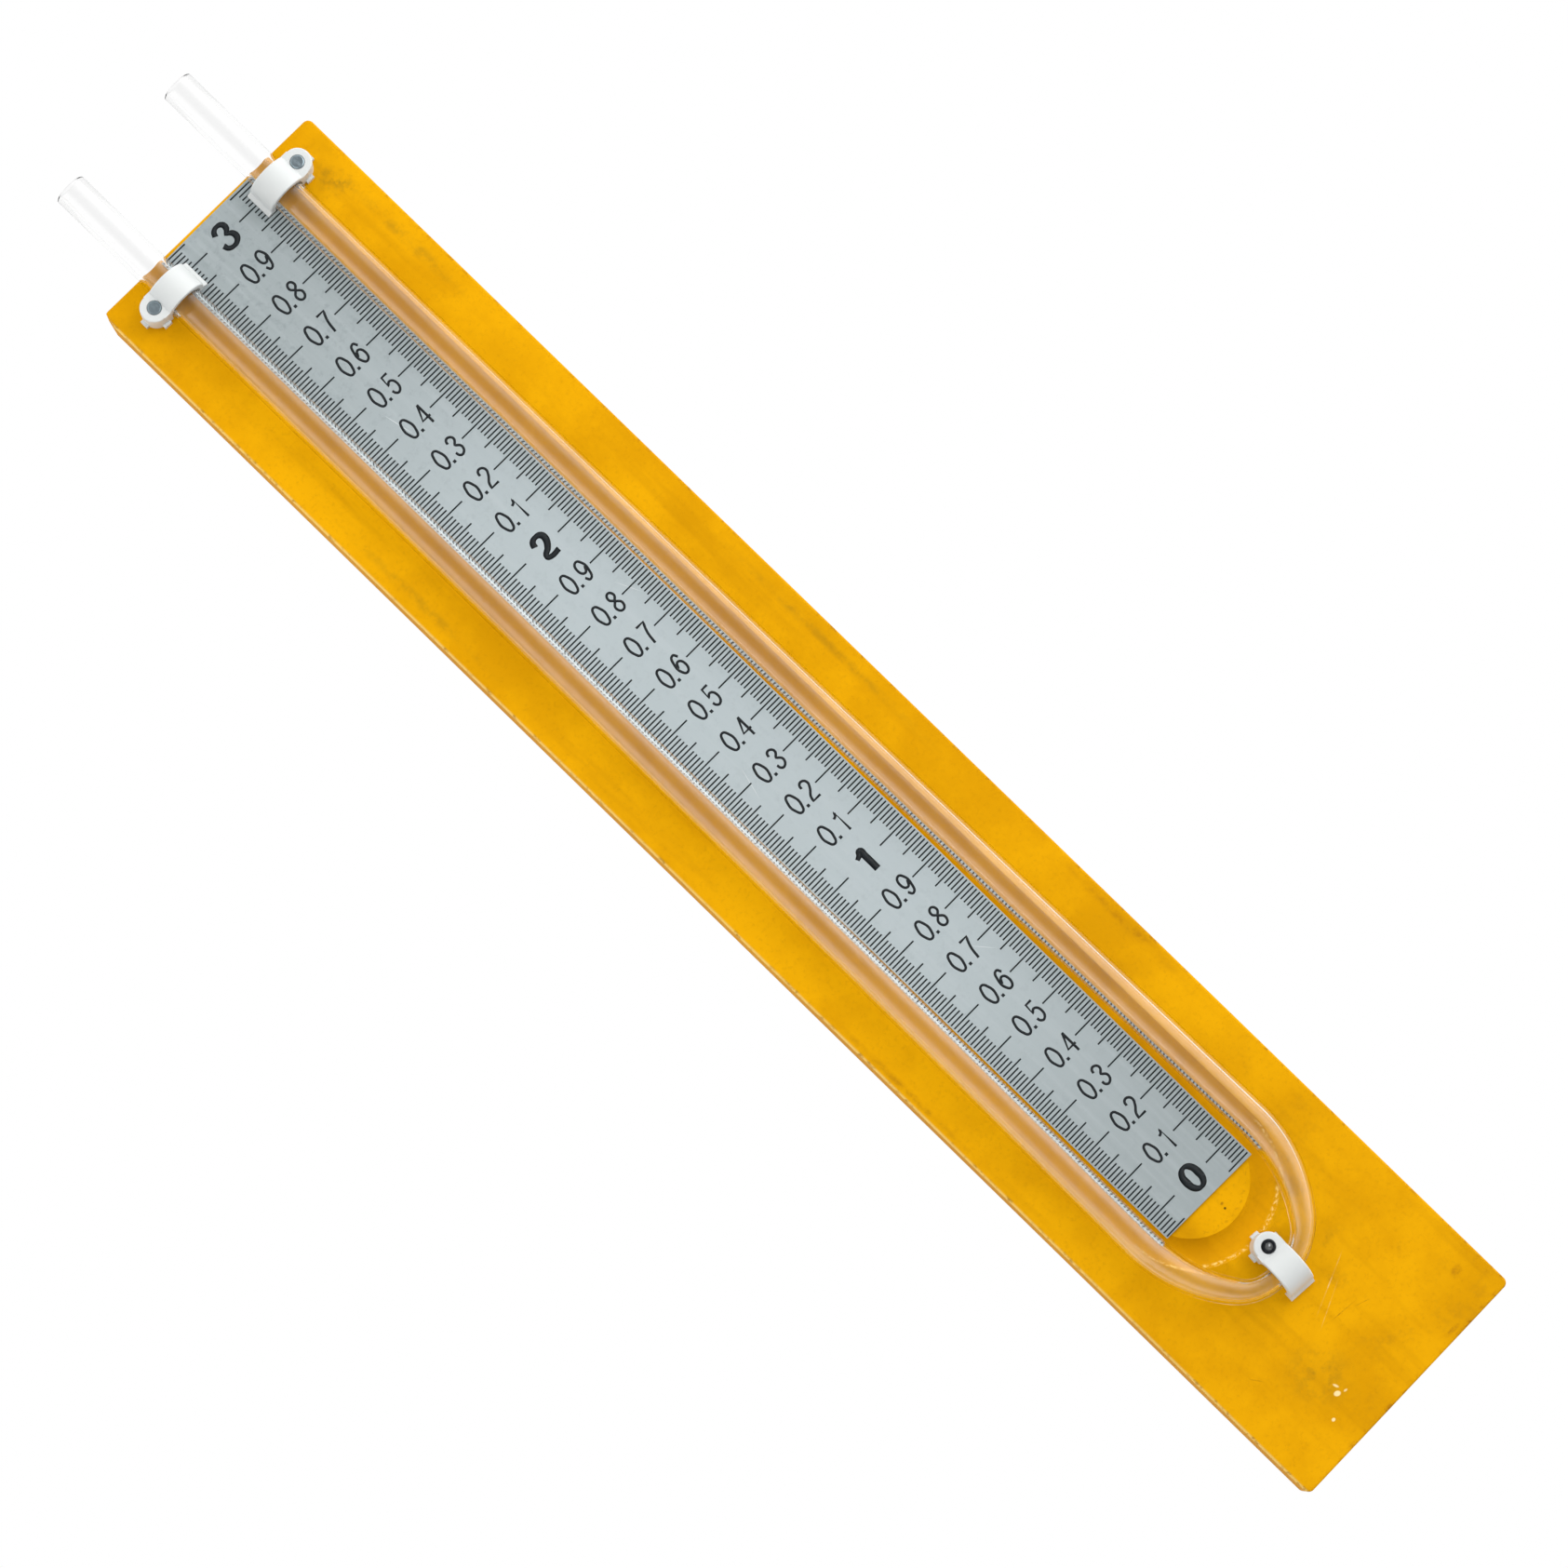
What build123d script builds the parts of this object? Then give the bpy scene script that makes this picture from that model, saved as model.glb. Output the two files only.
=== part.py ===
from build123d import *
import os
from math import asin, atan, cos, degrees, radians, sin

# U-tube manometer on a painted wooden board, lying on its back, in millimetres.
# The origin is the centre of the board's back face, +Z comes out of the board's front
# and +Y runs up the board, towards the open ends of the glass tube.

# Board
board_width = 64.4
board_length = 372.5
board_thickness = 8.5
board_corner_radius = 1.5
board_edge_round = 0.6
worn_corner_width = 0.9
worn_corner_length = 3.7

# The scale, the tube and its groove share one line, a little left of the board's middle
axis_offset = -0.6

# Glass tube
tube_radius = 4.0
tube_wall = 1.0
bend_radius_of_glass = 2.62
leg_spacing = 33.4
free_end_length = 24.5
free_end_start = 0.5
leg_bow = 1.9
legs_from_bottom = 65.8
bend_bottom_radius = 13.5
bend_bottom_angle = 50
bend_stations = 21
rim_round = 0.3
tube_height_at_clips = 2.8
tube_height_at_bend = 4.05

# Groove that seats the legs
groove_clearance = 0.4
groove_centre_above_legs = 0.4

# Scale plate and the adhesive tape under it
plate_width = 26.4
plate_length = 310.8
plate_thickness = 0.4
plate_from_bottom = 60.75
plate_bottom_slant = 0.6
plate_top_slant = 0.3
tape_thickness = 0.2
tape_inset = 0.6

# Nail-on clips
clip_width = 6.8
clip_wall = 1.3
clip_bore_clearance = 0.25
clip_boss_height = 6.0
clip_nail_offset = 6.2
clip_boss_radius = 3.3
clip_foot_reach = 6.5
clip_toe_height = 0.8
clip_boss_overlap = 0.15
clip_edge_round = 0.35
clip_nub_width = 2.0
clip_nub_length = 0.6
clip_nub_height = 1.4
clip_left_from_top = 8.2
clip_right_from_top = 7.0
clip_bend_turn = 4.5

# Nails
nail_radius = 0.8
nail_head_radius = 1.55
nail_head_thickness = 0.8
nail_head_chamfer = 0.25
nail_depth_in_board = 7.0
nail_point_length = 1.6
nail_fit = 0.05
nail_recess_depth = 0.5
nail_recess_clearance = 0.15

# Places that follow from the sizes above
board_top = board_length / 2
board_bottom = -board_length / 2
bow_start = board_top + free_end_start
bend_start = board_bottom + legs_from_bottom
bow_length = bow_start - bend_start
bow_radius = (bow_length**2 + leg_bow**2) / (2 * leg_bow)
bow_angle = degrees(asin(bow_length / bow_radius))
bend_turn = 90 + bow_angle
bend_half_width = leg_spacing / 2 + leg_bow
bend_side_radius = (
    bend_half_width - bend_bottom_radius * sin(radians(bend_bottom_angle))
) / (cos(radians(bow_angle)) - sin(radians(bend_bottom_angle)))
bend_depth = bend_bottom_radius * (1 - cos(radians(bend_bottom_angle))) + bend_side_radius * (
    cos(radians(bend_bottom_angle)) + sin(radians(bow_angle))
)
bend_bottom = bend_start - bend_depth
bend_bottom_run = bend_bottom_radius * radians(bend_bottom_angle)
bend_side_run = bend_side_radius * radians(bend_turn - bend_bottom_angle)
clips_level = board_top - (clip_left_from_top + clip_right_from_top) / 2
tube_tilt = degrees(atan((tube_height_at_bend - tube_height_at_clips) / (clips_level - bend_start)))
groove_radius = tube_radius + groove_clearance
groove_bend_level = bend_start + groove_centre_above_legs
plate_level = board_thickness + tape_thickness
plate_top_face = plate_level + plate_thickness
clip_bore_radius = tube_radius + clip_bore_clearance
clip_outer_radius = clip_bore_radius + clip_wall
nail_seat = clip_boss_height - nail_recess_depth


def heading_at(run):
    """Angle in degrees that the bend's path has turned from level, run mm from its lowest point."""
    if run < bend_bottom_run:
        return degrees(run / bend_bottom_radius)
    return bend_bottom_angle + degrees((run - bend_bottom_run) / bend_side_radius)


def bend_point(heading):
    """Point of the right half of the bend's path where it has turned by heading."""
    low = min(heading, bend_bottom_angle)
    x = bend_bottom_radius * sin(radians(low))
    y = bend_bottom + bend_bottom_radius * (1 - cos(radians(low)))
    if heading > bend_bottom_angle:
        x += bend_side_radius * (sin(radians(heading)) - sin(radians(low)))
        y += bend_side_radius * (cos(radians(low)) - cos(radians(heading)))
    return x, y


def glass_radius(heading):
    """Outer radius of the glass, full at the legs and narrowed by the bending in between."""
    swell = sin(radians(90 * heading / bend_turn)) ** 4
    return bend_radius_of_glass + (tube_radius - bend_radius_of_glass) * swell


def bend_section(run, inset):
    """Round section of the bend, square to its path. run is negative on the left half."""
    heading = heading_at(abs(run))
    side = 1 if run >= 0 else -1
    x, y = bend_point(heading)
    plane = Plane(
        origin=(side * x, y, 0),
        x_dir=(0, 0, 1),
        z_dir=(cos(radians(heading)), side * sin(radians(heading)), 0),
    )
    return plane * Circle(glass_radius(heading) - inset)


def glass_rod(inset, overrun):
    """The tube's outside when inset is 0, and its bore when inset is the wall."""
    steps = bend_stations - 1
    half_run = bend_bottom_run + bend_side_run
    runs = [half_run * (2 * i / steps - 1) for i in range(bend_stations)]
    rod = loft([bend_section(run, inset) for run in runs])
    for side in (1, -1):
        bow = JernArc(
            start=(side * leg_spacing / 2, bow_start),
            tangent=(0, -1),
            radius=bow_radius,
            arc_size=side * bow_angle,
        )
        mouth = (side * leg_spacing / 2, bow_start + free_end_length + overrun)
        free_end = Line((side * leg_spacing / 2, bow_start), mouth)
        section = Plane(origin=bow @ 0, z_dir=(0, -1, 0)) * Circle(tube_radius - inset)
        rod += sweep(section, path=bow)
        section = Plane(origin=bow @ 0, z_dir=(0, 1, 0)) * Circle(tube_radius - inset)
        rod += sweep(section, path=free_end)
    return rod


def make_u_tube():
    tube = glass_rod(0, 0)
    mouths = tube.faces().sort_by(Axis.Y)[-2:]
    tube = fillet(mouths.edges(), rim_round)
    tube -= glass_rod(tube_wall, 1)
    pivot = Pos(axis_offset, clips_level, board_thickness + tube_height_at_clips)
    return pivot * Rot(X=-tube_tilt) * Pos(0, -clips_level, 0) * tube


def groove_cutter():
    x = leg_spacing / 2
    top = board_top + groove_radius
    path = Line((-x, top), (-x, groove_bend_level))
    path += CenterArc((0, groove_bend_level), x, 180, 180)
    path += Line((x, groove_bend_level), (x, top))
    section = Plane(origin=(-x, top, 0), z_dir=(0, -1, 0)) * Circle(groove_radius)
    cutter = sweep(section, path=path)
    return Pos(axis_offset, 0, board_thickness + tube_height_at_clips) * cutter


def make_backboard():
    board = extrude(Rectangle(board_width, board_length), board_thickness)
    board = fillet(board.edges().filter_by(Axis.Z), board_corner_radius)
    worn = Polyline(
        (-board_width / 2, board_top - worn_corner_length),
        (-board_width / 2 + worn_corner_width, board_top),
        (-board_width / 2 - worn_corner_width, board_top + worn_corner_width),
        close=True,
    )
    board -= extrude(make_face(worn), board_thickness)
    rims = board.faces().sort_by(Axis.Z)[-1].edges() + board.faces().sort_by(Axis.Z)[0].edges()
    board = fillet(rims, board_edge_round)
    board -= groove_cutter()
    for place in clip_places().values():
        hole = Cylinder(
            nail_radius + nail_fit,
            nail_depth_in_board + nail_fit,
            align=(Align.CENTER, Align.CENTER, Align.MAX),
        )
        board -= place * Pos(-clip_nail_offset, 0, 0) * hole
    return board


def plate_outline(inset):
    half = plate_width / 2 - inset
    low = board_bottom + plate_from_bottom + inset
    high = low + plate_length - 2 * inset
    outline = Polyline(
        (-half, low),
        (half, low - plate_bottom_slant),
        (half, high + plate_top_slant),
        (-half, high),
        close=True,
    )
    return Pos(axis_offset, 0, 0) * make_face(outline)


def make_scale_tape():
    return Pos(0, 0, board_thickness) * extrude(plate_outline(tape_inset), tape_thickness)


def make_scale_plate():
    return Pos(0, 0, plate_level) * extrude(plate_outline(0), plate_thickness)


def clip_places():
    """Each clip's place: its tube centre on the board's face, with its nail on local -X."""
    leg = leg_spacing / 2
    return {
        "left": Pos(axis_offset - leg, board_top - clip_left_from_top, board_thickness),
        "right": Pos(axis_offset + leg, board_top - clip_right_from_top, board_thickness)
        * Rot(Z=180),
        "bend": Pos(axis_offset, bend_bottom, board_thickness) * Rot(Z=-90 - clip_bend_turn),
    }


def clip_arch(foot_level):
    """Band over the tube: a half ring on two straight legs, rounded along its outside."""
    centre = tube_height_at_clips
    outline = Line((-clip_outer_radius, 0), (-clip_outer_radius, centre))
    top = (0, centre + clip_outer_radius)
    outline += ThreePointArc((-clip_outer_radius, centre), top, (clip_outer_radius, centre))
    outline += Line((clip_outer_radius, centre), (clip_outer_radius, foot_level))
    outline += Line((clip_outer_radius, foot_level), (clip_bore_radius, foot_level))
    outline += Line((clip_bore_radius, foot_level), (clip_bore_radius, centre))
    top = (0, centre + clip_bore_radius)
    outline += ThreePointArc((clip_bore_radius, centre), top, (-clip_bore_radius, centre))
    outline += Line((-clip_bore_radius, centre), (-clip_bore_radius, 0))
    outline += Line((-clip_bore_radius, 0), (-clip_outer_radius, 0))
    arch = extrude(make_face(Plane.XZ * outline), clip_width / 2, both=True)
    outer_face = arch.faces().filter_by(GeomType.CYLINDER).sort_by(SortBy.AREA)[-1]
    return fillet(outer_face.edges().filter_by(GeomType.CIRCLE), clip_edge_round)


def clip_toe(foot_level):
    """Wedge that widens the foot on the side away from the nail."""
    root = clip_outer_radius - clip_wall / 2
    outline = Polyline(
        (root, foot_level),
        (clip_foot_reach, foot_level),
        (clip_foot_reach, foot_level + clip_toe_height),
        (root, tube_height_at_clips),
        close=True,
    )
    return extrude(make_face(Plane.XZ * outline), clip_width / 2, both=True)


def clip_boss():
    """Half-round boss that the nail goes through, with three nubs around its base."""
    block_length = clip_nail_offset - clip_bore_radius - clip_boss_overlap
    plan = Circle(clip_boss_radius)
    plan &= Rectangle(clip_boss_radius, clip_width, align=(Align.MAX, Align.CENTER))
    plan += Rectangle(block_length, clip_width, align=(Align.MIN, Align.CENTER))
    boss = extrude(plan, clip_boss_height)
    tip_rim = boss.edges().filter_by(GeomType.CIRCLE).sort_by(Axis.Z)[-1]
    boss = fillet(tip_rim, clip_edge_round)
    boss += Box(
        clip_nub_length + clip_boss_radius,
        clip_nub_width,
        clip_nub_height,
        align=(Align.MAX, Align.CENTER, Align.MIN),
    )
    boss += Box(
        clip_nub_width,
        clip_width + 2 * clip_nub_length,
        clip_nub_height,
        align=(Align.CENTER, Align.CENTER, Align.MIN),
    )
    return boss


def nail_way():
    """The shank's hole and the head's recess in a clip."""
    hole = Cylinder(
        nail_radius + nail_fit, clip_boss_height, align=(Align.CENTER, Align.CENTER, Align.MIN)
    )
    recess = Cylinder(
        nail_head_radius + nail_recess_clearance,
        nail_head_thickness,
        align=(Align.CENTER, Align.CENTER, Align.MIN),
    )
    return hole + Pos(0, 0, nail_seat) * recess


def make_clip(place, foot_level):
    at_nail = Pos(-clip_nail_offset, 0, 0)
    clip = clip_arch(foot_level) + clip_toe(foot_level) + at_nail * clip_boss()
    return place * (clip - at_nail * nail_way())


def make_nail(place):
    """A nail driven through the clip's boss into the board."""
    point_level = -nail_depth_in_board
    half = Polyline(
        (0, point_level),
        (nail_radius, point_level + nail_point_length),
        (nail_radius, nail_seat),
        (nail_head_radius, nail_seat),
        (nail_head_radius, nail_seat + nail_head_thickness),
        (0, nail_seat + nail_head_thickness),
        close=True,
    )
    nail = revolve(make_face(Plane.XZ * half), Axis.Z)
    head_rim = nail.edges().filter_by(GeomType.CIRCLE).sort_by(Axis.Z)[-1]
    nail = chamfer(head_rim, nail_head_chamfer)
    return place * Pos(-clip_nail_offset, 0, 0) * nail


def main():
    os.makedirs("parts", exist_ok=True)
    nodes = {
        "backboard": make_backboard(),
        "scale_tape": make_scale_tape(),
        "scale_plate": make_scale_plate(),
        "u_tube": make_u_tube(),
    }
    for name, place in clip_places().items():
        foot_level = 0 if name == "bend" else plate_top_face - board_thickness
        nodes["clip_" + name] = make_clip(place, foot_level)
        nodes["nail_" + name] = make_nail(place)
    for name, solid in nodes.items():
        export_step(solid, os.path.join("parts", name + ".step"))


main()
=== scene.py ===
# %% [markdown]
# A U-tube manometer lies on its back: a narrow board painted yellow ochre, a bent glass
# tube seated in a routed groove, three white clips nailed over it, and a metal scale between
# the tube's legs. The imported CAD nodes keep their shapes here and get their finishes. Only the
# glass tube is drawn again, with smooth sides. Then come the printed scale, the light and the
# camera.

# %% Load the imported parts
import bpy
import math
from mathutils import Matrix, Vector


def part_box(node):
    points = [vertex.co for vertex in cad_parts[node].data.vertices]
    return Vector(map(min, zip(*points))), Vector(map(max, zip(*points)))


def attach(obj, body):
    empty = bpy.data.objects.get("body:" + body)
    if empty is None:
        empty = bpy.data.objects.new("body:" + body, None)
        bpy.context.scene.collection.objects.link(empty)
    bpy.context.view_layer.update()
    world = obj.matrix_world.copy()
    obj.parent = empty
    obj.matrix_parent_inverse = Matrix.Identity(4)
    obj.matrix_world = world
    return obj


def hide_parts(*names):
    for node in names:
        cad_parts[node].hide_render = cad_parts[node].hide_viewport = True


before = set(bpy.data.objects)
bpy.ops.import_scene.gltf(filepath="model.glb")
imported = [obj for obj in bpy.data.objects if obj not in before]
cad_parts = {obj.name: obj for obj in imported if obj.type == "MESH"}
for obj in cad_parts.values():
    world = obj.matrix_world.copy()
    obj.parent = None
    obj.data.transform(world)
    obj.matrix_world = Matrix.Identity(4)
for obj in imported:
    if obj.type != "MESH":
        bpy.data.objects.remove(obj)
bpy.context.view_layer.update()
MM = 0.001

# %% [markdown]
# All the lettering sits on the scale plate, and the plate's own box says where it is. The
# plate is cut a little askew at its lower end, so the zero line is placed from the lower
# right corner. The scale runs from 5 mm below zero to 5 mm above 30 cm.

# %% Places on the plate and the board
zero_above_corner = 5.95 * MM
plate_low, plate_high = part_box("scale_plate")
plate_face = plate_high.z
plate_middle = (plate_low.x + plate_high.x) / 2
zero_line = plate_low.y + zero_above_corner
board_low, board_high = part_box("backboard")
board_face = board_high.z
print("scale zero at y =", round(zero_line / MM, 2), "mm, face at z =", round(plate_face / MM, 2))

# %% [markdown]
# Blender's operators work on whatever is selected, so the selection is cleared before a piece
# is made. The parts of one piece are joined into one mesh, and its place goes into the
# vertices, so that the object itself stands at the origin, as the CAD nodes do.


# %% Small helpers for the objects
def deselect_all():
    bpy.ops.object.select_all(action="DESELECT")


def activate(piece):
    deselect_all()
    piece.select_set(True)
    bpy.context.view_layer.objects.active = piece


def join(pieces, name):
    """Joins the pieces into one mesh with this name, its place held in its vertices."""
    activate(pieces[0])
    for piece in pieces:
        piece.select_set(True)
    if len(pieces) > 1:
        bpy.ops.object.join()
    joined = bpy.context.view_layer.objects.active
    joined.name = name
    joined.data.name = name
    activate(joined)
    bpy.ops.object.transform_apply(location=True, rotation=True, scale=True)
    return joined


def cover(piece, material):
    """Puts this one material on a piece."""
    piece.data.materials.clear()
    piece.data.materials.append(material)


# %% [markdown]
# Every finish is a material made of nodes. A plain one needs only the Principled shader's own
# sockets. Colours are written as a screen shows them, 0 to 255, and are turned into the
# linear values that nodes work with.


# %% Helpers for a plain finish
def srgb(red, green, blue, alpha=1.0):
    """Turns a colour read off a screen, 0 to 255, into the linear values that nodes use."""
    linear = []
    for value in (red, green, blue):
        part = value / 255
        linear.append(part / 12.92 if part <= 0.04045 else ((part + 0.055) / 1.055) ** 2.4)
    return (*linear, alpha)


def principled(material):
    return material.node_tree.nodes["Principled BSDF"]


def finish(name, colour, roughness, metallic=0.0):
    material = bpy.data.materials.new(name)
    material.use_nodes = True
    shader = principled(material)
    shader.inputs["Base Color"].default_value = colour
    shader.inputs["Roughness"].default_value = roughness
    shader.inputs["Metallic"].default_value = metallic
    return material


def dress(node_name, material):
    """Puts one material on a CAD node."""
    cover(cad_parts[node_name], material)


# %% [markdown]
# The painted board, the metal scale and the nails get patterns from noise. The patterns are
# read in Object coordinates, so that they stay put on the piece whatever the camera does.


# %% Helpers for places on a piece
def node(material, kind, **settings):
    made = material.node_tree.nodes.new(kind)
    for key, value in settings.items():
        setattr(made, key, value)
    return made


def link(material, source, target):
    material.node_tree.links.new(source, target)


def object_coordinates(material, scale=(1, 1, 1)):
    """The place on the piece. A small scale on one axis draws a pattern out along it."""
    coordinates = node(material, "ShaderNodeTexCoord")
    mapping = node(material, "ShaderNodeMapping")
    mapping.inputs["Scale"].default_value = scale
    link(material, coordinates.outputs["Object"], mapping.inputs["Vector"])
    return mapping.outputs["Vector"]


def place_parts(material):
    """X, Y and Z of the place on the piece, as three outputs."""
    coordinates = node(material, "ShaderNodeTexCoord")
    parts = node(material, "ShaderNodeSeparateXYZ")
    link(material, coordinates.outputs["Object"], parts.inputs[0])
    return [parts.outputs[name] for name in "XYZ"]


# %% [markdown]
# A pattern is a number from 0 to 1 at each place. Noise gives an uneven one, a window sharpens
# it or fades it out, and two patterns multiplied leave only what both have.


# %% Helpers for patterns
def noise(material, vector, scale, detail, roughness):
    """An uneven pattern. A larger scale makes it finer, more detail makes it rougher."""
    made = node(material, "ShaderNodeTexNoise")
    made.inputs["Scale"].default_value = scale
    made.inputs["Detail"].default_value = detail
    made.inputs["Roughness"].default_value = roughness
    link(material, vector, made.inputs["Vector"])
    return made.outputs["Fac"]


def window(material, value, low, high, low_out=0.0, high_out=1.0):
    """Smooth step of a value from low_out to high_out as it goes from low to high."""
    made = node(material, "ShaderNodeMapRange", interpolation_type="SMOOTHSTEP")
    for socket, number in (("From Min", low), ("From Max", high), ("To Min", low_out), ("To Max", high_out)):
        made.inputs[socket].default_value = number
    link(material, value, made.inputs["Value"])
    return made.outputs["Result"]


def math_node(material, operation, first, second):
    made = node(material, "ShaderNodeMath", operation=operation)
    for socket, value in zip(made.inputs, (first, second)):
        if isinstance(value, (int, float)):
            socket.default_value = value
        else:
            link(material, value, socket)
    return made.outputs["Value"]


def times(material, first, second):
    """One pattern, taken down to the share that the other leaves of it."""
    return math_node(material, "MULTIPLY", first, second)


def patch(material, centre, size, turn=0.0, soft=0.5):
    """1 inside an oval on the piece's face, fading to 0 at its rim. In mm and degrees."""
    coordinates = node(material, "ShaderNodeTexCoord")
    inside = node(material, "ShaderNodeMapping", vector_type="TEXTURE")
    inside.inputs["Location"].default_value = (centre[0] * MM, centre[1] * MM, 0)
    inside.inputs["Rotation"].default_value = (0, 0, math.radians(turn))
    inside.inputs["Scale"].default_value = (size[0] * MM, size[1] * MM, 1)
    link(material, coordinates.outputs["Object"], inside.inputs["Vector"])
    reach = node(material, "ShaderNodeVectorMath", operation="LENGTH")
    link(material, inside.outputs["Vector"], reach.inputs[0])
    return window(material, reach.outputs["Value"], 1 - soft, 1.0, 1.0, 0.0)


# %% [markdown]
# A pattern then says how much of one more colour is mixed over the last, as thin coats of
# paint would be laid on, or how far a bump lifts the surface.


# %% Helpers for colour and bump
def blend(material, factor, first, second):
    """Mixes two colours. A colour is four numbers, or another node's output."""
    made = node(material, "ShaderNodeMix", data_type="RGBA", blend_type="MIX")
    link(material, factor, made.inputs["Factor"])
    for socket, value in ((made.inputs[6], first), (made.inputs[7], second)):
        if isinstance(value, tuple):
            socket.default_value = value
        else:
            link(material, value, socket)
    return made.outputs[2]


def colour_into(material, colour):
    link(material, colour, principled(material).inputs["Base Color"])


def bump_into(material, pattern, strength, distance):
    made = node(material, "ShaderNodeBump")
    made.inputs["Strength"].default_value = strength
    made.inputs["Distance"].default_value = distance
    link(material, pattern, made.inputs["Height"])
    link(material, made.outputs["Normal"], principled(material).inputs["Normal"])


# %% [markdown]
# The board is softwood under thick yellow-ochre paint. The paint has clouded patches, streaks
# along the grain, a fine speckle and thin greenish brown stains. Each is a noise pattern of
# its own size that mixes a slightly darker ochre over the last colour.

# %% Painted board: the paint
paint = finish("painted_wood", srgb(236, 170, 4), roughness=0.6)
principled(paint).inputs["Specular IOR Level"].default_value = 0.06
where = object_coordinates(paint)
along = object_coordinates(paint, (1.0, 0.1, 1.0))
across, lengthwise, level = place_parts(paint)
ochre, clouded, streaked = srgb(234, 169, 2), srgb(216, 152, 0), srgb(200, 139, 0)
speckled, stained = srgb(196, 134, 2), srgb(172, 122, 16)
clouds = noise(paint, where, 38, 5, 0.62)
colour = blend(paint, window(paint, clouds, 0.35, 0.68), ochre, clouded)
streaks = noise(paint, along, 130, 4, 0.6)
colour = blend(paint, window(paint, streaks, 0.5, 0.72, high_out=0.55), colour, streaked)
fine = noise(paint, where, 1100, 3, 0.7)
colour = blend(paint, window(paint, fine, 0.5, 0.75, high_out=0.35), colour, speckled)
blots = window(paint, noise(paint, where, 75, 8, 0.72), 0.52, 0.72)
runs = window(paint, noise(paint, along, 22, 2, 0.5), 0.48, 0.66, high_out=0.55)
colour = blend(paint, times(paint, blots, runs), colour, stained)
print("paint:", len(paint.node_tree.nodes), "nodes")

# %% [markdown]
# The board's edges are marked. The left edge is pale, partly rubbed paint and partly a painted
# highlight along its arris. The rim of both sides and of the foot is darker brown in broken
# patches, and a painted shade darkens the paint in the groove. Each pair below says where a
# band starts and where it is full, counted from the board's own faces.

# %% Painted board: its edges, and painted shade in the groove
top_rim_reach = (1.6 * MM, 0.4 * MM)
left_wear_and_highlight = (0.6 * MM, 0.1 * MM)
side_darkening = (0.9 * MM, 0.2 * MM)
foot_darkening = (1.3 * MM, 0.3 * MM)
groove_shade = (2.5 * MM, 0.2 * MM)
half_width = board_high.x
top_rim = window(paint, level, board_face - top_rim_reach[0], board_face - top_rim_reach[1])
# The pale left edge is partly rubbed paint and partly a painted highlight along the arris.
left_edge_wear_and_highlight = window(paint, across, left_wear_and_highlight[0] - half_width, left_wear_and_highlight[1] - half_width, high_out=0.75)
colour = blend(paint, times(paint, left_edge_wear_and_highlight, top_rim), colour, srgb(250, 216, 128))
# Darker brown in broken patches along the rim of both sides and of the foot.
edge_noise = noise(paint, where, 420, 5, 0.7)
edge_darkening = times(paint, window(paint, edge_noise, 0.5, 0.66, high_out=0.75), top_rim)
from_middle = math_node(paint, "ABSOLUTE", across, 0.0)
sides = window(paint, from_middle, half_width - side_darkening[0], half_width - side_darkening[1])
colour = blend(paint, times(paint, sides, edge_darkening), colour, srgb(160, 106, 16))
foot = window(paint, lengthwise, board_low.y + foot_darkening[0], board_low.y + foot_darkening[1])
colour = blend(paint, times(paint, foot, edge_darkening), colour, srgb(158, 98, 14))
# Painted shade: the paint is drawn darker in the groove, below the board's face.
groove_floor, groove_lip = board_face - groove_shade[0], board_face - groove_shade[1]
painted_groove_shade = window(paint, level, groove_floor, groove_lip, 0.55, 0.0)
colour = blend(paint, painted_groove_shade, colour, srgb(208, 140, 4))
print("worn rim:", round(top_rim_reach[0] / MM, 1), "mm deep")

# %% [markdown]
# The larger marks have their own places: long stains beside the legs, scratches near the
# bend, chips at the foot, where pale wood shows, a small dark hole just below the scale, and a
# painted shadow below the bend. Each is an oval. The larger ovals are broken up by a speckle,
# so that they don't look stamped.

# %% Painted board: stains, scratches, chips and a painted shadow
olive, brown, pale, dark = srgb(150, 112, 20), srgb(150, 92, 14), srgb(250, 226, 168), srgb(60, 38, 12)
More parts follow.
